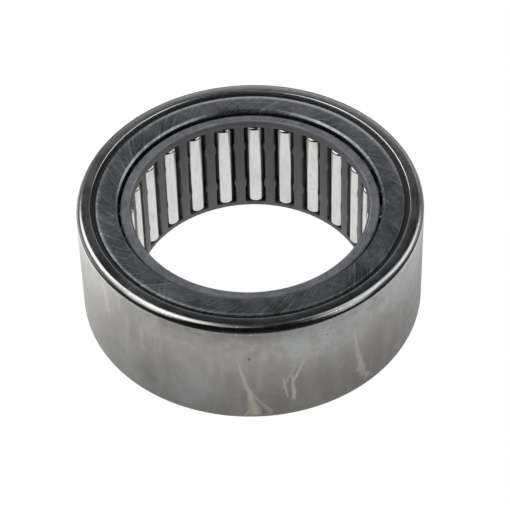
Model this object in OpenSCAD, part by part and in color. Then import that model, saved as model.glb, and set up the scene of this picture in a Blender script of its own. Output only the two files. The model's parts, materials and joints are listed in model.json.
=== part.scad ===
// Aligning needle roller bearing without an inner ring.
// A drawn cup holds two support rings with a hollow spherical seat. The outer ring is a slice
// of a ball and swivels in that seat, and inside it a cage guides the needles.
// The bearing axis is Z. The origin is the middle of the bearing and the centre of the ball.

/* [Bearing] */
// Diameter over the drawn cup
outer_d = 52; // [51:0.5:56]
// Width over the drawn cup
width = 20; // [19:0.5:24]
// Diameter of the shaft that the needles run on
shaft_d = 35; // [32:0.5:35.5]

/* [Drawn cup] */
// Thickness of the sheet
cup_wall = 0.75; // [0.6:0.05:0.9]
// Outer radius of the drawn corners
cup_corner_r = 1.05; // [1:0.05:1.5]
// Depth of each inturned lip, measured from the outside of the cup
lip_depth = 2.15; // [2:0.05:2.6]
// Rounding of a lip's two edges
lip_edge_r = 0.15; // [0.05:0.05:0.3]

/* [Spherical seat] */
// Radial distance from the inside of the cup to the ball of the outer ring
ball_inset = 0.25; // [0.2:0.05:0.4]
// Running gap between the ball and its seat
seat_gap = 0.02; // [0.01:0.01:0.05]
// Gap between a support ring and the inside of the cup, on the wall and under the lip
seat_play = 0.03; // [0.02:0.01:0.06]
// Distance between the two support rings
seat_spacing = 4; // [2:0.5:6]
// Rounding of a support ring's outer corner
seat_corner_r = 0.5; // [0.5:0.1:1]

/* [Outer ring] */
// How far each face of the ring lies below the cup's lip
ring_inset = 0.25; // [0.1:0.05:0.5]
// Height of the ribs that stop the needles at the ends of the raceway
rib_height = 0.72; // [0.5:0.02:0.9]
// Bevel between a face of the ring and the ball
ring_bevel = 0.35; // [0.2:0.05:0.5]
// Bevel between a face of the ring and the bore of a rib
rib_bevel = 0.3; // [0.2:0.05:0.6]

/* [Needles] */
// Number of needles
needle_count = 24; // [18:1:24]
// Diameter of a needle
needle_d = 3; // [2.5:0.1:3]
// Length of a needle
needle_length = 15.8; // [13:0.2:15.8]
// Rounding of a needle's ends
needle_end_r = 0.4; // [0.2:0.05:0.6]
// Radial play of a needle at the shaft and at the raceway
needle_play = 0.01; // [0.01:0.005:0.02]
// Play between a needle's end and the rib
rib_play = 0.1; // [0.05:0.05:0.3]

/* [Cage] */
// How far each end of the cage lies below the face of the outer ring
cage_inset = 0.6; // [0.4:0.05:0.7]
// Radial gap between the shaft and the bore of the cage
cage_bore_gap = 0.22; // [0.2:0.01:0.3]
// Radial gap between the outside of the cage and the ribs
cage_rib_gap = 0.4; // [0.2:0.05:0.6]
// Bevel of the cage's bore at its ends
cage_bore_bevel = 0.35; // [0.1:0.05:0.5]
// Bevel of the cage's outer edges
cage_edge_bevel = 0.2; // [0.1:0.05:0.3]
// Play of a needle between the bars, on each side
pocket_side_play = 0.1; // [0.05:0.01:0.12]
// Play of a needle between the ends of its pocket, at each end
pocket_end_play = 0.15; // [0.05:0.05:0.25]
// Rounding of the pocket's corners
pocket_corner_r = 0.25; // [0.1:0.05:0.4]

/* [Retaining nubs in the pockets] */
// How far a nub stands out from the bar
nub_height = 0.19; // [0.1:0.01:0.2]
// Length of a nub along the bar
nub_length = 1.8; // [1.2:0.1:2.4]
// Length of the slope at each end of a nub
nub_slope = 0.4; // [0.2:0.1:0.6]
// Radial thickness of a nub, measured from the bore of the cage
nub_thickness = 0.55; // [0.3:0.05:0.6]

/* [Hidden] */
$fn = 96;
// how far a cutting body reaches past what it cuts
over = 1;

cup_r = outer_d / 2;
cup_half = width / 2;
cup_inner_r = cup_r - cup_wall;
cup_inner_half = cup_half - cup_wall;
lip_r = cup_r - lip_depth;

ball_r = cup_inner_r - ball_inset;
seat_ball_r = ball_r + seat_gap;
seat_outer_r = cup_inner_r - seat_play;
seat_half = cup_inner_half - seat_play;

needle_r = needle_d / 2;
needle_half = needle_length / 2;
pitch_r = shaft_d / 2 + needle_play + needle_r;
pitch_angle = 360 / needle_count;

ring_half = cup_half - ring_inset;
raceway_r = pitch_r + needle_r + needle_play;
raceway_half = needle_half + rib_play;
rib_r = raceway_r - rib_height;
// radius of the ball where the bevel meets it
bevel_r = sqrt(pow(ball_r, 2) - pow(ring_half - ring_bevel, 2));

cage_half = ring_half - cage_inset;
cage_bore_r = shaft_d / 2 + cage_bore_gap;
cage_outer_r = rib_r - cage_rib_gap;
pocket_half_w = needle_r + pocket_side_play;
pocket_half_l = needle_half + pocket_end_play;
nub_z = needle_length / 4;

function two_digits(n) = str(n < 10 ? "0" : "", n);
function needle_name(i) = str("needle_", two_digits(i + 1));
// a bar of the cage, not a pocket, lies on the X axis
function needle_angle(i) = (i + 0.5) * pitch_angle;

// Half section of a disc with a rounded rim
module rounded_disc_section(r, half, round_r) {
    translate([0, -half])
        square([r - round_r, 2 * half]);
    translate([0, round_r - half])
        square([r, 2 * (half - round_r)]);
    for (side = [-1, 1])
        translate([r - round_r, side * (half - round_r)])
            circle(round_r);
}

// Half section of a plain disc
module disc_section(r, half) {
    translate([0, -half])
        square([r, 2 * half]);
}

module cup_section() {
    difference() {
        rounded_disc_section(cup_r, cup_half, cup_corner_r);
        rounded_disc_section(cup_inner_r, cup_inner_half, cup_corner_r - cup_wall);
        disc_section(lip_r + lip_edge_r, cup_half + over);
    }
    for (side = [-1, 1])
        translate([lip_r + lip_edge_r, side * (cup_half - cup_wall / 2)])
            lip_end();
}

// Section over the end of a lip, with both of its edges rounded
module lip_end() {
    straight = cup_wall / 2 - lip_edge_r;
    square([2 * lip_edge_r, 2 * straight], center = true);
    for (side = [-1, 1])
        translate([0, side * straight])
            circle(lip_edge_r);
}

module drawn_cup() {
    color([0.60, 0.60, 0.59])
        rotate_extrude()
            cup_section();
}

module support_ring() {
    color([0.16, 0.16, 0.17])
        rotate_extrude()
            difference() {
                rounded_disc_section(seat_outer_r, seat_half, seat_corner_r);
                circle(seat_ball_r);
                translate([0, -cup_half - over])
                    square([cup_r, cup_half + over + seat_spacing / 2]);
            }
}

module support_ring_upper() {
    support_ring();
}

module support_ring_lower() {
    mirror([0, 0, 1])
        support_ring();
}

module outer_ring_section() {
    difference() {
        intersection() {
            circle(ball_r);
            disc_section(ball_r, ring_half);
        }
        disc_section(rib_r, ring_half + over);
        disc_section(raceway_r, raceway_half);
        for (side = [-1, 1]) {
            polygon([
                [bevel_r - ring_bevel, side * ring_half],
                [bevel_r, side * (ring_half - ring_bevel)],
                [ball_r, side * (ring_half - ring_bevel)],
                [ball_r, side * (ring_half + over)],
                [bevel_r - ring_bevel, side * (ring_half + over)]
            ]);
            polygon([
                [rib_r + rib_bevel, side * ring_half],
                [rib_r, side * (ring_half - rib_bevel)],
                [rib_r - over, side * (ring_half - rib_bevel)],
                [rib_r - over, side * (ring_half + over)],
                [rib_r + rib_bevel, side * (ring_half + over)]
            ]);
        }
    }
}

module outer_ring() {
    color([0.26, 0.28, 0.30])
        rotate_extrude()
            outer_ring_section();
}

module cage_section() {
    polygon([
        [cage_bore_r, -cage_half + cage_bore_bevel],
        [cage_bore_r + cage_bore_bevel, -cage_half],
        [cage_outer_r - cage_edge_bevel, -cage_half],
        [cage_outer_r, -cage_half + cage_edge_bevel],
        [cage_outer_r, cage_half - cage_edge_bevel],
        [cage_outer_r - cage_edge_bevel, cage_half],
        [cage_bore_r + cage_bore_bevel, cage_half],
        [cage_bore_r, cage_half - cage_bore_bevel]
    ]);
}

// Outline of a pocket, with X across it and Y along the bearing axis
module pocket_outline() {
    square([2 * pocket_half_w, 2 * (pocket_half_l - pocket_corner_r)], center = true);
    square([2 * (pocket_half_w - pocket_corner_r), 2 * pocket_half_l], center = true);
    for (side = [-1, 1], end = [-1, 1])
        translate([side * (pocket_half_w - pocket_corner_r), end * (pocket_half_l - pocket_corner_r)])
            circle(pocket_corner_r);
}

// Outline of one nub, which keeps a needle from dropping out towards the shaft
module nub_outline(side, end) {
    polygon([
        [side * pocket_half_w, end * nub_z - nub_length / 2],
        [side * (pocket_half_w - nub_height), end * nub_z - nub_length / 2 + nub_slope],
        [side * (pocket_half_w - nub_height), end * nub_z + nub_length / 2 - nub_slope],
        [side * pocket_half_w, end * nub_z + nub_length / 2],
        [side * (pocket_half_w + over), end * nub_z + nub_length / 2],
        [side * (pocket_half_w + over), end * nub_z - nub_length / 2]
    ]);
}

// Body that cuts one pocket, lying along the X axis
module pocket_cutter() {
    rotate([90, 0, 90]) {
        translate([0, 0, cage_bore_r + nub_thickness])
            linear_extrude(cage_outer_r - cage_bore_r)
                pocket_outline();
        translate([0, 0, cage_bore_r - over])
            linear_extrude(cage_outer_r - cage_bore_r + 2 * over)
                difference() {
                    pocket_outline();
                    for (side = [-1, 1], end = [-1, 1])
                        nub_outline(side, end);
                }
    }
}

module cage() {
    color([0.33, 0.33, 0.33])
        difference() {
            rotate_extrude()
                cage_section();
            for (i = [0:needle_count - 1])
                rotate([0, 0, needle_angle(i)])
                    pocket_cutter();
        }
}

module needle(i) {
    color([0.84, 0.84, 0.83])
        rotate([0, 0, needle_angle(i)])
            translate([pitch_r, 0, 0])
                rotate_extrude()
                    rounded_disc_section(needle_r, needle_half, needle_end_r);
}

drawn_cup();
support_ring_upper();
support_ring_lower();
outer_ring();
cage();
for (i = [0:needle_count - 1])
    needle(i);
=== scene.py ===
import json
import math

import bmesh
import bpy
from mathutils import Matrix, Vector


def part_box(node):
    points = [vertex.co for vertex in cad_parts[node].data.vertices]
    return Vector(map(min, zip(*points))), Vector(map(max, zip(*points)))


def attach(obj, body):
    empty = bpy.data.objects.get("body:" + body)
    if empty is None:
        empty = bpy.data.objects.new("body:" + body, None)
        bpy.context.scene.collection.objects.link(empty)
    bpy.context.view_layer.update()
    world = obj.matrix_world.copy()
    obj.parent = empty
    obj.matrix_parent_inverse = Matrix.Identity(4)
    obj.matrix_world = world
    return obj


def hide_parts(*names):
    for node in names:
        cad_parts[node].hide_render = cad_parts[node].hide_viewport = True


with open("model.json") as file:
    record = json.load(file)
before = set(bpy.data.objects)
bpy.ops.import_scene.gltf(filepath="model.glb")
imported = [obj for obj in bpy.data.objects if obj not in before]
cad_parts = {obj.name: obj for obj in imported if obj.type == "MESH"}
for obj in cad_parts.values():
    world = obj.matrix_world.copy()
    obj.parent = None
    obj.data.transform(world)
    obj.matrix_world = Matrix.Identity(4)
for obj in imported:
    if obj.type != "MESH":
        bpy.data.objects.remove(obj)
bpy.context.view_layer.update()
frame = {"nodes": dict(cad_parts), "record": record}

# ---------------------------------------------------------------- sizes, in metres and radians
# A size that no node's box or mount gives is as in part.scad, apart from the crowns and soft edges,
# which only the visual pieces have.

MM = 0.001
DEGREE = math.radians(1)

MOUNTS = {mount["name"]: mount for mount in frame["record"]["mounts"]}
NEEDLES = sorted(name for name in frame["nodes"] if name.startswith("needle_"))
PITCH = 2 * math.pi / len(NEEDLES)


def radius_of(node):
    """The radius of a round node's box, the smaller of its two sides."""
    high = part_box(node)[1]
    return min(high.x, high.y)


CUP_R = radius_of("drawn_cup")
CUP_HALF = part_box("drawn_cup")[1].z
CUP_WALL = 0.75 * MM
CUP_CORNER_R = 1.05 * MM
LIP_DEPTH = 2.15 * MM
LIP_EDGE_R = 0.15 * MM
LIP_CROWN = 0.07 * MM
LIP_R = CUP_R - LIP_DEPTH

SEAT_R = radius_of("support_ring_upper")
SEAT_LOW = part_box("support_ring_upper")[0].z
SEAT_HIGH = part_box("support_ring_upper")[1].z
SEAT_CORNER_R = 0.5 * MM
SEAT_GAP = 0.02 * MM

BALL_R = radius_of("outer_ring")
RING_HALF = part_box("outer_ring")[1].z
RING_EDGE_DROP = 0.21 * MM
RING_EDGE_IN = 0.05 * MM
RING_CROWN_R = 2.4 * MM
RING_CROWN_SLOPE = 12 * DEGREE
RING_FACE_R = 22.6 * MM
RIB_BEVEL = 0.3 * MM
RIB_HEIGHT = 0.72 * MM
RIB_PLAY = 0.1 * MM

NEEDLE_LOW, NEEDLE_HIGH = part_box(NEEDLES[0])
NEEDLE_R = (NEEDLE_HIGH.x - NEEDLE_LOW.x) / 2
NEEDLE_HALF = NEEDLE_HIGH.z
NEEDLE_END_R = 0.4 * MM
NEEDLE_PLAY = 0.01 * MM
PITCH_R = MOUNTS["needle_circle"]["dims"]["r_mm"] * MM + NEEDLE_R
RACEWAY_R = PITCH_R + NEEDLE_R + NEEDLE_PLAY
RIB_R = RACEWAY_R - RIB_HEIGHT

CAGE_BORE_R = MOUNTS["cage_bore"]["dims"]["r_mm"] * MM
CAGE_R = radius_of("cage")
CAGE_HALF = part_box("cage")[1].z
CAGE_BORE_BEVEL = 0.35 * MM
CAGE_EDGE_BEVEL = 0.2 * MM
POCKET_HALF_W = NEEDLE_R + 0.1 * MM
POCKET_HALF_L = NEEDLE_HALF + 0.15 * MM
POCKET_CORNER_R = 0.25 * MM
NUB_Z = NEEDLE_HALF / 2
NUB_HEIGHT = 0.19 * MM
NUB_LENGTH = 1.8 * MM
NUB_SLOPE = 0.4 * MM
NUB_THICKNESS = 0.55 * MM
CAGE_END_MARGIN = 0.1 * MM

RING_STEPS = 288
NEEDLE_STEPS = 48
BALL_STEPS = 32
SEAT_STEPS = 16
ARC_STEPS = 6
POCKET_CORNER_STEPS = 4
POCKET_END_STEPS = 8

SHARP_ANGLE = 32 * DEGREE
WELD_DISTANCE = 1e-7
SOFT_EDGE = 0.07 * MM
SOFT_CAGE_END = 0.06 * MM

# ---------------------------------------------------------------- meshes


def fillet(corners, closed=True):
    """A section's corners (r, z, rounding radius) as points, with an arc at each rounded corner."""
    points = []
    count = len(corners)
    for i, (r, z, radius) in enumerate(corners):
        here = Vector((r, z))
        if radius <= 0 or (not closed and i in (0, count - 1)):
            points.append(here)
            continue
        before = (Vector(corners[i - 1][:2]) - here).normalized()
        after = (Vector(corners[(i + 1) % count][:2]) - here).normalized()
        half = before.angle(after) / 2
        centre = here + (before + after).normalized() * (radius / math.sin(half))
        start = here + before * (radius / math.tan(half)) - centre
        end = here + after * (radius / math.tan(half)) - centre
        sweep = start.angle_signed(end)
        for step in range(ARC_STEPS + 1):
            turned = Matrix.Rotation(-sweep * step / ARC_STEPS, 2) @ start
            points.append(centre + turned)
    return [(point.x, point.y) for point in points]


def new_piece(name, bm, body, material, nodes):
    """Finishes a mesh, shades it and lets it ride on its body in place of its CAD nodes."""
    bmesh.ops.remove_doubles(bm, verts=bm.verts, dist=WELD_DISTANCE)
    bmesh.ops.recalc_face_normals(bm, faces=bm.faces)
    mesh = bpy.data.meshes.new(name)
    bm.to_mesh(mesh)
    bm.free()
    mesh.shade_smooth()
    mesh.set_sharp_from_angle(angle=SHARP_ANGLE)
    mesh.materials.append(material)
    piece = bpy.data.objects.new(name, mesh)
    bpy.context.scene.collection.objects.link(piece)
    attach(piece, body)
    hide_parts(*nodes)


def lathe(section, steps, closed=True):
    """A section of (r, z) points turned round the Z axis. An open section starts and ends on it."""
    bm = bmesh.new()
    rings = []
    for step in range(steps):
        angle = 2 * math.pi * step / steps
        turned = [(r * math.cos(angle), r * math.sin(angle), z) for r, z in section]
        rings.append([bm.verts.new(point) for point in turned])
    last = len(section) if closed else len(section) - 1
    for step, ring in enumerate(rings):
        following = rings[(step + 1) % steps]
        for i in range(last):
            j = (i + 1) % len(section)
            bm.faces.new((ring[i], following[i], following[j], ring[j]))
    return bm


def cup_section():
    """The cup's section. Its lips are crowned: each rises a little towards its inner edge."""
    inner_r = CUP_R - CUP_WALL
    inner_half = CUP_HALF - CUP_WALL
    upper = [
        (CUP_R, CUP_HALF - LIP_CROWN, CUP_CORNER_R),
        (LIP_R, CUP_HALF, LIP_EDGE_R),
        (LIP_R, inner_half, LIP_EDGE_R),
        (inner_r, inner_half, CUP_CORNER_R - CUP_WALL),
    ]
    lower = [(r, -z, radius) for r, z, radius in reversed(upper)]
    return fillet(upper + lower)


def ball_arc(radius, start_z, end_z, steps):
    """Points on a sphere's outline from one height to another."""
    start, end = math.asin(start_z / radius), math.asin(end_z / radius)
    angles = [start + (end - start) * i / steps for i in range(steps + 1)]
    return [(radius * math.cos(a), radius * math.sin(a), 0) for a in angles]


def support_ring_section(side):
    """The section of the upper support ring, or of the lower one where side is -1."""
    arc = ball_arc(BALL_R + SEAT_GAP, SEAT_LOW, SEAT_HIGH, SEAT_STEPS)
    corners = arc + [(SEAT_R, SEAT_HIGH, SEAT_CORNER_R), (SEAT_R, SEAT_LOW, 0)]
    return [(r, side * z) for r, z in fillet(corners)]


def outer_ring_section():
    """The outer ring's section. Its faces fall away a little towards the ball, in a soft crown."""
    ball_z = RING_HALF - RING_EDGE_DROP
    ball_r = math.sqrt(BALL_R**2 - ball_z**2)
    crown_r = ball_r - RING_EDGE_IN
    crown_z = RING_HALF - (crown_r - RING_FACE_R) * math.tan(RING_CROWN_SLOPE)
    raceway_z = NEEDLE_HALF + RIB_PLAY
    upper = [
        (ball_r, ball_z, 0),
        (crown_r, crown_z, 0),
        (RING_FACE_R, RING_HALF, RING_CROWN_R),
        (RIB_R + RIB_BEVEL, RING_HALF, SOFT_EDGE),
        (RIB_R, RING_HALF - RIB_BEVEL, SOFT_EDGE),
        (RIB_R, raceway_z, SOFT_EDGE),
        (RACEWAY_R, raceway_z, 0),
    ]
    lower = [(r, -z, radius) for r, z, radius in reversed(upper)]
    ball = ball_arc(BALL_R, -ball_z, ball_z, BALL_STEPS)[1:-1]
    return fillet(upper + lower + ball)


def needle_section():
    corners = [
        (0, NEEDLE_HALF, 0),
        (NEEDLE_R, NEEDLE_HALF, NEEDLE_END_R),
        (NEEDLE_R, -NEEDLE_HALF, NEEDLE_END_R),
        (0, -NEEDLE_HALF, 0),
    ]
    return fillet(corners, closed=False)


# ---------------------------------------------------------------- the cage


def pocket_side(nubs):
    """Points (across, along) up one side of a pocket, with or without its two nubs."""
    end = POCKET_HALF_L - POCKET_CORNER_R
    low = [NUB_Z - NUB_LENGTH / 2, NUB_Z - NUB_LENGTH / 2 + NUB_SLOPE]
    high = [NUB_Z + NUB_LENGTH / 2 - NUB_SLOPE, NUB_Z + NUB_LENGTH / 2]
    flat, raised = POCKET_HALF_W, POCKET_HALF_W - (NUB_HEIGHT if nubs else 0)
    upper = [
        (flat, 0),
        (flat, NUB_Z / 2),
        (flat, low[0]),
        (raised, low[1]),
        (raised, high[0]),
        (flat, high[1]),
        (flat, end),
    ]
    lower = [(across, -along) for across, along in reversed(upper[1:])]
    return lower + upper


def pocket_end(half_width):
    """Points across the end of a pocket, from its right to its left."""
    return [half_width * (1 - 2 * step / POCKET_END_STEPS) for step in range(POCKET_END_STEPS + 1)]


def pocket_outline(nubs):
    """A pocket's outline (across, along), round from the lower end of its right side."""
    end_w = POCKET_HALF_W - POCKET_CORNER_R
    end_l = POCKET_HALF_L - POCKET_CORNER_R
    corner = []
    for step in range(1, POCKET_CORNER_STEPS):
        turn = math.pi / 2 * step / POCKET_CORNER_STEPS
        across = end_w + POCKET_CORNER_R * math.cos(turn)
        along = end_l + POCKET_CORNER_R * math.sin(turn)
        corner.append((across, along))
    end = [(across, POCKET_HALF_L) for across in pocket_end(end_w)]
    far_corner = [(-across, along) for across, along in reversed(corner)]
    half = pocket_side(nubs) + corner + end + far_corner
    return half + [(-across, -along) for across, along in half]


def border(radius, edge_z):
    """Where each point of a pocket's outline meets the edge of its share of the cage: (angle, z)."""
    side = [(PITCH / 2, along) for _, along in pocket_side(False)]
    end = [(math.asin(across / radius), edge_z) for across in pocket_end(POCKET_HALF_W - POCKET_CORNER_R)]
    middle_z = (side[-1][1] + edge_z) / 2
    middle_angle = (PITCH / 2 + end[0][0]) / 2
    corner = [(PITCH / 2, middle_z), (PITCH / 2, edge_z), (middle_angle, edge_z)]
    far_corner = [(-angle, z) for angle, z in reversed(corner)]
    half = side + corner + end + far_corner
    return half + [(-angle, -z) for angle, z in half]


def widened(outline, distance):
    """The outline moved outwards, away from the middle of the pocket."""
    moved = []
    for i, (across, along) in enumerate(outline):
        before = Vector(outline[i - 1])
        after = Vector(outline[(i + 1) % len(outline)])
        tangent = (after - before).normalized()
        moved.append((across + tangent.y * distance, along - tangent.x * distance))
    return moved


def on_cage(points, middle, side=1):
    """Points (angle from the middle of a pocket, radius, z) as (x, y, z); side -1 turns them over."""
    placed = []
    for angle, radius, z in points:
        turned = middle + side * angle
        placed.append((radius * math.cos(turned), radius * math.sin(turned), side * z))
    return placed


def add_strip(bm, loops, closed=True):
    """Joins each loop of points to the next one with quads."""
    rows = [[bm.verts.new(point) for point in loop] for loop in loops]
    for row, following in zip(rows, rows[1:]):
        last = len(row) if closed else len(row) - 1
        for i in range(last):
            j = (i + 1) % len(row)
            bm.faces.new((row[i], row[j], following[j], following[i]))


def cage_end_section():
    """The section (r, z) over one end of the cage, from its bore to its outside."""
    corners = [
        (CAGE_BORE_R, CAGE_HALF - CAGE_BORE_BEVEL - CAGE_END_MARGIN, 0),
        (CAGE_BORE_R, CAGE_HALF - CAGE_BORE_BEVEL, SOFT_CAGE_END),
        (CAGE_BORE_R + CAGE_BORE_BEVEL, CAGE_HALF, SOFT_CAGE_END),
        (CAGE_R - CAGE_EDGE_BEVEL, CAGE_HALF, SOFT_CAGE_END),
        (CAGE_R, CAGE_HALF - CAGE_EDGE_BEVEL, SOFT_CAGE_END),
        (CAGE_R, CAGE_HALF - CAGE_EDGE_BEVEL - CAGE_END_MARGIN, 0),
    ]
    return fillet(corners, closed=False)


def pocket_walls():
    """The pocket's outline (across, along) at each radius from the bore outwards, with soft edges."""
    nubbed, plain = pocket_outline(True), pocket_outline(False)
    nub_r = CAGE_BORE_R + NUB_THICKNESS
    part = 0.3 * SOFT_EDGE
    return [
        (CAGE_BORE_R, widened(nubbed, SOFT_EDGE)),
        (CAGE_BORE_R + part, widened(nubbed, part)),
        (CAGE_BORE_R + SOFT_EDGE, nubbed),
        (nub_r - 2 * SOFT_EDGE, nubbed),
        (nub_r + SOFT_EDGE, plain),
        (CAGE_R - SOFT_EDGE, plain),
        (CAGE_R - part, widened(plain, part)),
        (CAGE_R, widened(plain, SOFT_EDGE)),
    ]


def add_cage_share(bm, middle):
    """One pocket of the cage with the half bars and the ends round it."""
    end_section = cage_end_section()
    (bore_r, bore_z), (rim_r, rim_z) = end_section[0], end_section[-1]
    bore_border = [(angle, bore_r, z) for angle, z in border(bore_r, bore_z)]
    rim_border = [(angle, rim_r, z) for angle, z in border(rim_r, rim_z)]
    walls = []
    for radius, outline in pocket_walls():
        walls.append([(math.asin(across / radius), radius, along) for across, along in outline])
    loops = [bore_border] + walls + [rim_border]
    add_strip(bm, [on_cage(loop, middle) for loop in loops])

    starts = [angle for angle, _, z in bore_border if z >= bore_z]
    stops = [angle for angle, _, z in rim_border if z >= rim_z]
    rows = []
    for i, (radius, z) in enumerate(end_section):
        share = i / (len(end_section) - 1)
        rows.append([(start + (stop - start) * share, radius, z) for start, stop in zip(starts, stops)])
    for side in (1, -1):
        add_strip(bm, [on_cage(row, middle, side) for row in rows], closed=False)


def cage_mesh():
    bm = bmesh.new()
    for i in range(len(NEEDLES)):
        add_cage_share(bm, (i + 0.5) * PITCH)
    return bm


# ---------------------------------------------------------------- node trees


class Graph:
    """Adds nodes to a material's or a world's tree."""

    def __init__(self, tree):
        self.tree = tree
        tree.nodes.clear()

    def node(self, kind, **inputs):
        made = self.tree.nodes.new(kind)
        for name, value in inputs.items():
            self.set(made.inputs[name.replace("_", " ")], value)
        return made

    def set(self, socket, value):
        """Links a node's output to the socket, or writes a plain value into it."""
        if isinstance(value, bpy.types.NodeSocket):
            self.tree.links.new(value, socket)
        else:
            socket.default_value = value

    def math(self, operation, *values, clamp=False):
        made = self.tree.nodes.new("ShaderNodeMath")
        made.operation = operation
        made.use_clamp = clamp
        for socket, value in zip(made.inputs, values):
            self.set(socket, value)
        return made.outputs[0]

    def plus(self, first, *others):
        for other in others:
            first = self.math("ADD", first, other)
        return first

    def times(self, first, *others):
        for other in others:
            first = self.math("MULTIPLY", first, other)
        return first

    def length(self, across, along):
        """The length of a line that goes so far across and so far along."""
        return self.math("SQRT", self.plus(self.times(across, across), self.times(along, along)))

    def vector_math(self, operation, first, second):
        made = self.tree.nodes.new("ShaderNodeVectorMath")
        made.operation = operation
        self.set(made.inputs[0], first)
        self.set(made.inputs[1], second)
        return made

    def stretched(self, vector, scale):
        return self.vector_math("MULTIPLY", vector, scale).outputs[0]

    def dot(self, first, second):
        return self.vector_math("DOT_PRODUCT", first, second).outputs["Value"]

    def noise(self, vector, scale, detail=3.0, roughness=0.5, distortion=0.0):
        """Noise from 0 to 1, with scale in waves a metre where the vector is a place in metres."""
        made = self.node(
            "ShaderNodeTexNoise",
            Vector=vector,
            Scale=scale,
            Detail=detail,
            Roughness=roughness,
            Distortion=distortion,
        )
        return made.outputs["Fac"]

    def range(self, value, low, high, to_low=0.0, to_high=1.0, smooth=False):
        """Turns low..high into to_low..to_high, and holds it there on both sides."""
        made = self.tree.nodes.new("ShaderNodeMapRange")
        made.interpolation_type = "SMOOTHSTEP" if smooth else "LINEAR"
        made.clamp = True
        for socket, number in zip(made.inputs, (value, low, high, to_low, to_high)):
            self.set(socket, number)
        return made.outputs[0]

    def mix(self, amount, first, second):
        made = self.tree.nodes.new("ShaderNodeMix")
        made.data_type = "RGBA"
        made.clamp_factor = True
        for index, value in ((0, amount), (6, first), (7, second)):
            self.set(made.inputs[index], value)
        return made.outputs[2]

    def layered(self, base, *layers):
        """A colour with others laid over it in turn, each as (amount, colour)."""
        for amount, colour in layers:
            base = self.mix(amount, base, colour)
        return base

    def bump(self, height, distance, strength=1.0, over=None):
        """A bump's normal, over an earlier bump's if there is one."""
        made = self.node("ShaderNodeBump", Height=height, Distance=distance, Strength=strength)
        if over is not None:
            self.set(made.inputs["Normal"], over)
        return made.outputs["Normal"]


def colour(red, green, blue):
    return (red, green, blue, 1.0)


def grey(value):
    return colour(value, value, value)


def toward(around, up):
    """The direction so many degrees round from +X and so many up."""
    around, up = around * DEGREE, up * DEGREE
    return (math.cos(around) * math.cos(up), math.sin(around) * math.cos(up), math.sin(up))


def new_material(name):
    """A material with an empty graph, and the coordinates of the piece it is on."""
    material = bpy.data.materials.new(name)
    material.use_nodes = True
    graph = Graph(material.node_tree)
    place = graph.node("ShaderNodeTexCoord").outputs["Object"]
    return material, graph, place


def add_shader(graph, base, roughness, normal, metallic=0.0):
    shader = graph.node(
        "ShaderNodeBsdfPrincipled",
        Base_Color=base,
        Roughness=roughness,
        Metallic=metallic,
        Normal=normal,
    )
    graph.node("ShaderNodeOutputMaterial", Surface=shader.outputs[0])


def cylinder_place(graph, place):
    """(angle in degrees, radius, height) of a point about the bearing's axis."""
    x, y, z = graph.node("ShaderNodeSeparateXYZ", Vector=place).outputs
    angle = graph.times(graph.math("ARCTAN2", y, x), 1 / DEGREE)
    return angle, graph.length(x, y), z


def side_patch(graph, place, radius, around, core, rim):
    """1 on the side that lies towards an angle, falling to 0 between two half angles from it."""
    side = graph.math("DIVIDE", graph.dot(place, toward(around, 0)), radius)
    return graph.range(side, math.cos(rim * DEGREE), math.cos(core * DEGREE), smooth=True)


# ---------------------------------------------------------------- materials


# each run of oil: top and bottom (degrees round the cup, height in mm), widths in degrees, strength
OIL_RUNS = [
    ((-100.0, 3.0), (-96.6, -3.6), 0.5, 1.3, 0.55),
    ((-96.8, -3.0), (-94.6, -8.3), 1.0, 2.9, 0.75),
    ((-95.0, -6.6), (-98.2, -9.2), 1.6, 0.6, 0.6),
    ((-97.0, -3.0), (-89.6, -8.2), 0.5, 1.1, 0.45),
    ((-74.8, 5.4), (-79.6, 0.4), 0.4, 0.8, 0.8),
    ((-79.2, 1.0), (-82.2, -2.6), 0.7, 0.6, 0.9),
    ((-82.2, -1.6), (-81.8, -5.8), 0.6, 0.9, 0.9),
    ((-81.4, 0.8), (-85.2, -2.8), 0.3, 0.7, 0.7),
    ((-85.2, -2.0), (-84.0, -4.9), 0.7, 0.5, 0.7),
    ((-60.2, 3.4), (-58.6, -2.0), 0.6, 1.2, 0.55),
    ((-58.9, -1.0), (-56.4, -6.4), 1.2, 2.2, 0.6),
    ((-58.0, -5.0), (-54.6, -7.4), 2.2, 1.8, 0.5),
    ((-150.4, 6.6), (-149.6, 2.6), 1.6, 2.0, 0.28),
    ((-133.6, 4.0), (-133.0, 0.4), 0.8, 1.8, 0.18),
    ((-108.8, 3.0), (-108.6, 0.2), 1.2, 1.8, 0.17),
]
OIL_FADE = 1.2 * MM
OIL_THICKNESS = 0.03 * MM
DRIED_OIL = colour(0.95, 0.89, 0.75)

# each pit: degrees round the cup, height and radius in mm
PITS = [
    (-96.1, 3.5, 0.22),
    (-91.8, -8.3, 0.14),
    (-55.0, -6.2, 0.20),
    (-121.5, -8.6, 0.14),
    (-70.4, 5.9, 0.12),
]


def oil_run(graph, angle, z, top, bottom, top_width, bottom_width):
    """One run of dried oil, from 0 beside it to 1 along its middle."""
    top_z, bottom_z = top[1] * MM, bottom[1] * MM
    middle = graph.range(z, top_z, bottom_z, top[0], bottom[0])
    width = graph.range(z, top_z, bottom_z, top_width, bottom_width)
    off = graph.math("ABSOLUTE", graph.math("SUBTRACT", angle, middle))
    across = graph.range(graph.math("DIVIDE", off, width), 0.15, 1.1, 1.0, 0.0, smooth=True)
    above = graph.range(z, top_z, top_z + OIL_FADE, 1.0, 0.0, smooth=True)
    below = graph.range(z, bottom_z - OIL_FADE, bottom_z, smooth=True)
    return graph.times(above, below, across)


def oil_runs(graph, angle, z):
    """All the runs of oil together, each as strong as its row says."""
    oil = 0.0
    for *run, strength in OIL_RUNS:
        oil = graph.math("MAXIMUM", oil, graph.times(oil_run(graph, angle, z, *run), strength))
    return oil


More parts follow.
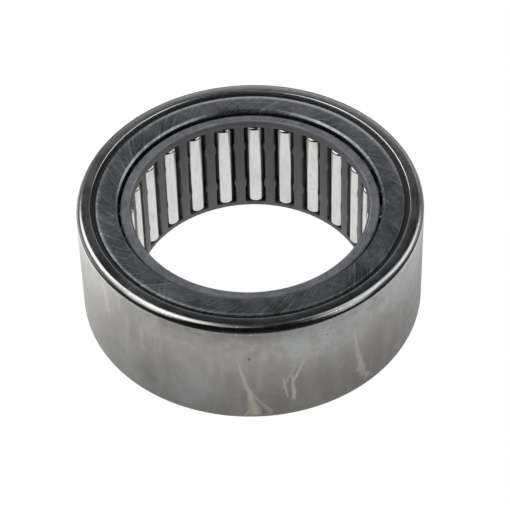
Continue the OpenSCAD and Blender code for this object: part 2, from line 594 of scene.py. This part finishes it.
def pits(graph, angle, z):
    """1 in the middle of a dark pit, falling softly to 0 round it."""
    found = 0.0
    for around, height, size in PITS:
        across = graph.times(graph.math("SUBTRACT", angle, around), CUP_R * DEGREE)
        along = graph.math("SUBTRACT", z, height * MM)
        distance = graph.length(across, along)
        pit = graph.range(distance, 0.5 * size * MM, 1.5 * size * MM, 1.0, 0.0, smooth=True)
        found = graph.math("MAXIMUM", found, pit)
    return found


def stained_sheet(graph, place, blotch, mottle, wall):
    """The sheet's colour under its runs of oil, with dull and brown stains on its wall."""
    cloud = graph.noise(place, 55.0, 2.0)
    drips = graph.noise(graph.stretched(place, (420.0, 420.0, 70.0)), 1.0, 3.0, 0.6)
    dull = graph.times(graph.range(cloud, 0.40, 0.58, 0.55, 0.0, smooth=True), wall)
    clear = graph.range(cloud, 0.50, 0.66, 0.0, 0.6, smooth=True)
    brown = graph.times(graph.range(mottle, 0.51, 0.66, 0.0, 0.55), wall)
    pale = graph.range(mottle, 0.3, 0.46, 0.3, 0.0)
    return graph.layered(
        colour(0.35, 0.345, 0.33),
        (graph.range(blotch, 0.3, 0.7), colour(0.49, 0.485, 0.475)),
        (dull, colour(0.33, 0.32, 0.29)),
        (clear, colour(0.47, 0.49, 0.505)),
        (brown, colour(0.37, 0.34, 0.29)),
        (pale, colour(0.53, 0.54, 0.55)),
        (graph.range(drips, 0.52, 0.66, 0.0, 0.3), colour(0.56, 0.54, 0.50)),
    )


def drawn_steel():
    """Bright drawn sheet, dulled by a thin film of old oil with runs in it, with a painted highlight along
    its lip's inner edge.
    """
    material, graph, place = new_material("drawn_steel")
    angle, radius, z = cylinder_place(graph, place)
    wavy_angle = graph.plus(angle, graph.range(graph.noise(place, 420.0, 3.0), 0.3, 0.7, -0.35, 0.35))
    blotch = graph.noise(place, 120.0, 3.0, 0.55, 0.6)
    mottle = graph.noise(place, 520.0, 5.0, 0.68)
    grain = graph.noise(graph.stretched(place, (60.0, 60.0, 2600.0)), 1.0, 4.0, 0.65)
    oil = graph.times(oil_runs(graph, wavy_angle, z), graph.range(mottle, 0.35, 0.6, 0.65, 1.05))

    wall = graph.range(z, CUP_HALF - 0.9 * MM, CUP_HALF - 1.8 * MM)
    corner = graph.math("SUBTRACT", 1.0, wall)
    lip = graph.range(radius, CUP_R - 0.9 * MM, CUP_R - 1.2 * MM)
    lip_edge = graph.range(radius, LIP_R + 0.4 * MM, LIP_R + 0.2 * MM)
    # Painted highlight: a pale line along the lip's inner edge, kept faint on the near-left side, where the
    # studio's reflection there is dark.
    dim_highlight_side = side_patch(graph, place, radius, -125, 50, 100)
    painted_lip_highlight = graph.times(lip_edge, graph.range(dim_highlight_side, 0.0, 1.0, 0.7, 0.1))
    flecks = graph.times(graph.range(graph.noise(place, 2600.0, 2.0), 0.64, 0.69), corner)
    base = graph.layered(
        stained_sheet(graph, place, blotch, mottle, wall),
        (graph.range(grain, 0.3, 0.7, 0.0, 0.04), grey(0.62)),
        (graph.times(lip, 0.4), colour(0.44, 0.45, 0.46)),
        # painted highlight along the lip's inner edge
        (painted_lip_highlight, grey(0.80)),
        (graph.times(flecks, 0.7), grey(0.85)),
        (graph.times(pits(graph, wavy_angle, z), 0.75), grey(0.05)),
        (oil, DRIED_OIL),
    )

    film = graph.range(graph.plus(mottle, blotch), 0.7, 1.3, 0.20, 0.32)
    roughness = graph.plus(film, graph.times(lip, 0.04), graph.times(corner, -0.08), graph.times(oil, 0.25))
    relief = graph.bump(grain, 0.0005 * MM, 0.8, over=graph.bump(oil, OIL_THICKNESS))
    add_shader(graph, base, roughness, relief, metallic=graph.range(oil, 0.0, 1.0, 1.0, 0.35))
    return material


def scratches(graph, angle, radius, lean, scale):
    """Noise drawn out into scratches across a turned face, with a lean in radians to a metre of radius."""
    turned = graph.plus(graph.times(angle, DEGREE), graph.times(radius, lean))
    x = graph.times(graph.math("COSINE", turned), 52.0)
    y = graph.times(graph.math("SINE", turned), 52.0)
    drawn_out = graph.node("ShaderNodeCombineXYZ", X=x, Y=y, Z=graph.times(radius, 110.0))
    return graph.noise(drawn_out.outputs[0], scale, 5.0, 0.7)


def ring_marks(graph, place, angle, radius, fine):
    """How scratched the ring is: fine marks all over, and coarse ones in patches."""
    coarse = graph.range(scratches(graph, angle, radius, -29.0, 0.9), 0.60, 0.72)
    crossing = graph.range(scratches(graph, angle, radius, 101.0, 2.2), 0.60, 0.70)
    patches = graph.range(graph.noise(place, 90.0, 2.0), 0.42, 0.62)
    patches = graph.math("MAXIMUM", patches, side_patch(graph, place, radius, -156, 12, 27))
    worn = graph.times(graph.math("ADD", coarse, crossing, clamp=True), patches)
    return graph.math("MAXIMUM", worn, graph.times(graph.range(fine, 0.55, 0.67), 0.7))


def raceway(graph, radius, z):
    """1 on the raceway and on the sides of the ribs."""
    reach = 0.01 * MM
    between_ribs = graph.math("LESS_THAN", graph.math("ABSOLUTE", z), NEEDLE_HALF + RIB_PLAY + reach)
    return graph.times(between_ribs, graph.math("LESS_THAN", radius, RACEWAY_R + reach))


def ring_steel():
    """Hardened steel, scratched across its ground faces, with painted shade on its raceway and a painted
    highlight along its crown.
    """
    material, graph, place = new_material("ring_steel")
    angle, radius, z = cylinder_place(graph, place)
    fine = scratches(graph, angle, radius, 50.0, 1.5)
    marks = ring_marks(graph, place, angle, radius, fine)
    cloud = graph.noise(place, 190.0, 4.0, 0.6)
    pores = graph.noise(place, 1500.0, 3.0, 0.6)
    far_side = side_patch(graph, place, radius, 68, 15, 75)
    left_side = side_patch(graph, place, radius, -170, 15, 50)
    # edge marks the crown, where a painted highlight goes
    edge = graph.range(radius, RING_FACE_R - 0.4 * MM, RING_FACE_R + 0.3 * MM, smooth=True)
    brighter = colour(0.56, 0.58, 0.61)
    base = graph.layered(
        colour(0.20, 0.215, 0.235),
        (graph.range(cloud, 0.3, 0.7), colour(0.37, 0.39, 0.415)),
        (graph.times(far_side, 0.55), brighter),
        (graph.times(left_side, 0.30), brighter),
        (graph.range(pores, 0.35, 0.65, 0.45, 0.0), grey(0.12)),
        (graph.times(marks, 0.7), grey(0.95)),
        # Painted highlight: a pale band along the crown, strongest towards the far side.
        (graph.times(edge, graph.range(far_side, 0.0, 1.0, 0.05, 0.65)), grey(0.78)),
        # Painted shade: the raceway and the sides of the ribs are made near black, as the shade between the
        # needles.
        (raceway(graph, radius, z), colour(0.035, 0.034, 0.032)),
    )
    roughness = graph.range(graph.plus(cloud, fine), 0.7, 1.3, 0.24, 0.38)
    relief = graph.plus(fine, graph.times(marks, 0.5), graph.times(pores, 0.5))
    add_shader(graph, base, roughness, graph.bump(relief, 0.008 * MM), metallic=1.0)
    return material


def cage_plastic():
    """Moulded glass-filled plastic, dark grey and matt, with painted light on its end faces and a painted
    highlight along the edge of its bore's bevel.
    """
    material, graph, place = new_material("cage_plastic")
    _, radius, z = cylinder_place(graph, place)
    height = graph.math("ABSOLUTE", z)
    cloud = graph.noise(place, 200.0, 3.0)
    stain = graph.noise(place, 700.0, 4.0, 0.65)
    grain = graph.noise(place, 5200.0, 2.0, 0.6)
    # Painted light: the end faces are made lighter, as where light from above falls on them, with some
    # random tone in it.
    painted_end_light = graph.range(height, CAGE_HALF - 0.4 * MM, CAGE_HALF - 0.02 * MM, smooth=True)
    painted_end_light_colour = graph.mix(
        graph.range(stain, 0.35, 0.65), colour(0.12, 0.122, 0.13), colour(0.215, 0.22, 0.235)
    )
    off_edge = graph.math("ABSOLUTE", graph.math("SUBTRACT", radius, CAGE_BORE_R + CAGE_BORE_BEVEL))
    # Painted highlight: a thin pale line where the bore's bevel meets each end face, broken up by noise.
    painted_bevel_highlight = graph.times(
        graph.range(off_edge, 0.03 * MM, 0.10 * MM, 1.0, 0.0, smooth=True),
        graph.math("GREATER_THAN", height, CAGE_HALF - 0.08 * MM),
        graph.range(cloud, 0.42, 0.62, 0.1, 0.8),
    )
    base = graph.layered(
        grey(0.085),
        (graph.range(cloud, 0.3, 0.7), grey(0.115)),
        # painted light on the end faces
        (painted_end_light, painted_end_light_colour),
        # painted highlight along the bevel's edge
        (painted_bevel_highlight, grey(0.48)),
        (graph.range(grain, 0.5, 0.75, 0.0, 0.3), grey(0.17)),
    )
    add_shader(graph, base, graph.range(grain, 0.3, 0.7, 0.42, 0.58), graph.bump(grain, 0.006 * MM, 0.6))
    return material


def seat_plastic():
    """Smooth dark moulded plastic."""
    material, graph, place = new_material("seat_plastic")
    cloud = graph.noise(place, 300.0, 3.0)
    base = graph.mix(cloud, grey(0.02), grey(0.035))
    relief = graph.bump(graph.noise(place, 3000.0), 0.004 * MM, 0.5)
    add_shader(graph, base, graph.range(cloud, 0.3, 0.7, 0.45, 0.6), relief)
    return material


def needle_steel():
    """Ground and polished needles with painted shade on their end faces, and faint marks along and across
    them.
    """
    material, graph, place = new_material("needle_steel")
    _, _, z = graph.node("ShaderNodeSeparateXYZ", Vector=place).outputs
    height = graph.math("ABSOLUTE", z)
    smear = graph.noise(graph.stretched(place, (1.0, 1.0, 0.35)), 700.0, 3.0, 0.6)
    lines = graph.noise(graph.stretched(place, (160.0, 160.0, 2400.0)), 1.0, 3.0)
    # Painted shade: the flat end faces are made near black, as they look in the dark gap above the needles.
    painted_end_shade = graph.range(height, NEEDLE_HALF - 0.03 * MM, NEEDLE_HALF - 0.01 * MM, 0.0, 0.85)
    base = graph.layered(
        colour(0.56, 0.56, 0.55),
        (graph.range(smear, 0.3, 0.7), colour(0.70, 0.70, 0.685)),
        (graph.range(smear, 0.62, 0.72, 0.0, 0.5), colour(0.34, 0.33, 0.31)),
        # painted shade on the end faces
        (painted_end_shade, grey(0.10)),
    )
    roughness = graph.range(smear, 0.3, 0.7, 0.12, 0.22)
    add_shader(graph, base, roughness, graph.bump(lines, 0.001 * MM, 0.6), metallic=1.0)
    return material


# ---------------------------------------------------------------- pieces


def needle_mesh(name):
    """A needle in the place of its CAD node, turned as it is placed round the bearing's axis."""
    low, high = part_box(name)
    middle = (low + high) / 2
    turn = Matrix.Rotation(math.atan2(middle.y, middle.x), 4, "Z")
    bm = lathe(needle_section(), NEEDLE_STEPS, closed=False)
    bm.transform(Matrix.Translation((middle.x, middle.y, 0)) @ turn)
    return bm


def build_bearing():
    cup = lathe(cup_section(), RING_STEPS)
    new_piece("cup", cup, "cup", drawn_steel(), ["drawn_cup"])
    plastic = seat_plastic()
    for name, side in (("support_ring_upper", 1), ("support_ring_lower", -1)):
        seat = lathe(support_ring_section(side), RING_STEPS)
        new_piece(f"{name}_piece", seat, "seat", plastic, [name])
    ring = lathe(outer_ring_section(), RING_STEPS)
    new_piece("ball_ring", ring, "outer_ring", ring_steel(), ["outer_ring"])
    new_piece("needle_cage", cage_mesh(), "cage", cage_plastic(), ["cage"])
    steel = needle_steel()
    for name in NEEDLES:
        new_piece(f"{name}_roller", needle_mesh(name), name, steel, [name])


# ---------------------------------------------------------------- camera, floor and light

# angles in degrees; an azimuth of 0 is straight in front, and less than 0 is round to the left
CAMERA_AZIMUTH = -4.4
CAMERA_ELEVATION = 46.07
CAMERA_ROLL = -1.63
CAMERA_DISTANCE = 379.94 * MM
CAMERA_SENSOR = 36.0
CAMERA_LENS = 176.4
CAMERA_CLIP = 10 * MM
AIM_RIGHT = 0.53 * MM
AIM_UP = -1.37 * MM

FLOOR_Z = -CUP_HALF
FLOOR_HALF = 3.0


def make_camera():
    back = Vector(toward(CAMERA_AZIMUTH - 90, CAMERA_ELEVATION))
    right = Vector(toward(CAMERA_AZIMUTH, 0))
    up = back.cross(right)
    data = bpy.data.cameras.new("camera")
    data.lens = CAMERA_LENS
    data.sensor_width = CAMERA_SENSOR
    data.clip_start = CAMERA_CLIP
    camera = bpy.data.objects.new("camera", data)
    bpy.context.scene.collection.objects.link(camera)
    camera.location = back * CAMERA_DISTANCE
    aim = right * AIM_RIGHT + up * AIM_UP
    look = (aim - camera.location).to_track_quat("-Z", "Y").to_matrix()
    camera.rotation_euler = (look @ Matrix.Rotation(CAMERA_ROLL * DEGREE, 3, "Z")).to_euler()
    bpy.context.scene.camera = camera


def floor_light(graph, place):
    """How bright the floor is in reflections: dimmer close to the bearing, and behind it far away."""
    _, radius, _ = cylinder_place(graph, place)
    x, y, _ = graph.node("ShaderNodeSeparateXYZ", Vector=place).outputs
    contact = graph.range(radius, CUP_R, CUP_R + 21 * MM, 0.36, 0.88, smooth=True)
    front = graph.range(x, -15 * MM, 2 * MM, 1.10, 1.0)
    beside = graph.range(x, -25 * MM, 25 * MM, 1.95, 1.20)
    behind = graph.range(y, -22 * MM, 2 * MM, front, beside, smooth=True)
    underneath = graph.math("LESS_THAN", radius, CUP_R - 1 * MM)
    near = graph.math("MAXIMUM", graph.times(contact, behind), underneath)
    dim = graph.range(y, -5 * MM, 50 * MM, 0.03, 0.45, smooth=True)
    far = graph.range(radius, 44.5 * MM, 51 * MM, 1.0, dim, smooth=True)
    return graph.times(near, far)


def floor_white():
    """White where the camera sees it, floor_light in reflections, and clear from below."""
    material, graph, place = new_material("floor_white")
    seen = graph.node("ShaderNodeLightPath").outputs["Is Camera Ray"]
    strength = graph.math("MAXIMUM", floor_light(graph, place), seen)
    light = graph.node("ShaderNodeEmission", Color=grey(1.0), Strength=strength)
    clear = graph.node("ShaderNodeBsdfTransparent")
    from_below = graph.node("ShaderNodeNewGeometry").outputs["Backfacing"]
    either = graph.tree.nodes.new("ShaderNodeMixShader")
    for socket, value in zip(either.inputs, (from_below, light.outputs[0], clear.outputs[0])):
        graph.set(socket, value)
    graph.node("ShaderNodeOutputMaterial", Surface=either.outputs[0])
    return material


def make_floor():
    mesh = bpy.data.meshes.new("floor")
    signs = ((-1, -1), (1, -1), (1, 1), (-1, 1))
    corners = [(x * FLOOR_HALF, y * FLOOR_HALF, FLOOR_Z) for x, y in signs]
    mesh.from_pydata(corners, [], [(0, 1, 2, 3)])
    mesh.materials.append(floor_white())
    floor = bpy.data.objects.new("floor", mesh)
    bpy.context.scene.collection.objects.link(floor)


# each soft light: (degrees round from +X, degrees up), half angles of its core and its rim, strength
SOFT_LIGHTS = [
    ((139, 39), 10, 20, 2.6),
    ((158, 66), 6, 20, 1.8),
    ((-166, 57), 7, 20, 1.9),
    ((-128, 68), 4, 15, 0.6),
    ((-162, 32), 8, 20, 1.0),
    ((168, 37), 7, 17, 1.0),
    ((17, 27), 8, 22, 1.3),
    ((12, 62), 6, 19, 1.1),
    ((4, 45), 6, 16, 0.8),
    ((-28, 42), 8, 22, 1.2),
    ((-37, 14), 6, 16, 0.8),
    ((84, 27), 8, 17, 0.35),
    ((60, 18), 6, 16, 0.35),
]


def studio_light(graph, direction):
    """The studio's brightness in each direction: dim walls, soft lights, and bright below the floor."""
    _, away, up = graph.node("ShaderNodeSeparateXYZ", Vector=direction).outputs
    high = graph.range(up, 0.38, 0.78, 0.28, 0.02, smooth=True)
    low = graph.range(up, -0.05, 0.35, 0.55, 1.0, smooth=True)
    front = graph.range(away, -0.55, 0.1, 0.03, 1.0, smooth=True)
    below = graph.range(up, -0.02, -0.12, smooth=True)
    light = graph.math("MAXIMUM", graph.times(high, low, front), below)
    for place, core, rim, strength in SOFT_LIGHTS:
        limits = (math.cos(rim * DEGREE), math.cos(core * DEGREE))
        nearness = graph.dot(direction, toward(*place))
        light = graph.plus(light, graph.range(nearness, *limits, 0.0, strength, smooth=True))
    return light


def make_world():
    """The studio all round, which the camera itself sees as white."""
    world = bpy.data.worlds.new("studio")
    bpy.context.scene.world = world
    world.use_nodes = True
    graph = Graph(world.node_tree)
    light = studio_light(graph, graph.node("ShaderNodeTexCoord").outputs["Generated"])
    seen = graph.node("ShaderNodeLightPath").outputs["Is Camera Ray"]
    unseen = graph.math("SUBTRACT", 1.0, seen)
    shown = graph.math("MAXIMUM", graph.times(light, unseen), seen)
    background = graph.node("ShaderNodeBackground", Color=colour(0.97, 0.985, 1.0), Strength=shown)
    graph.node("ShaderNodeOutputWorld", Surface=background.outputs[0])


def make_studio():
    make_camera()
    make_floor()
    make_world()
    bpy.context.scene.view_settings.view_transform = "Standard"


make_studio()
build_bearing()
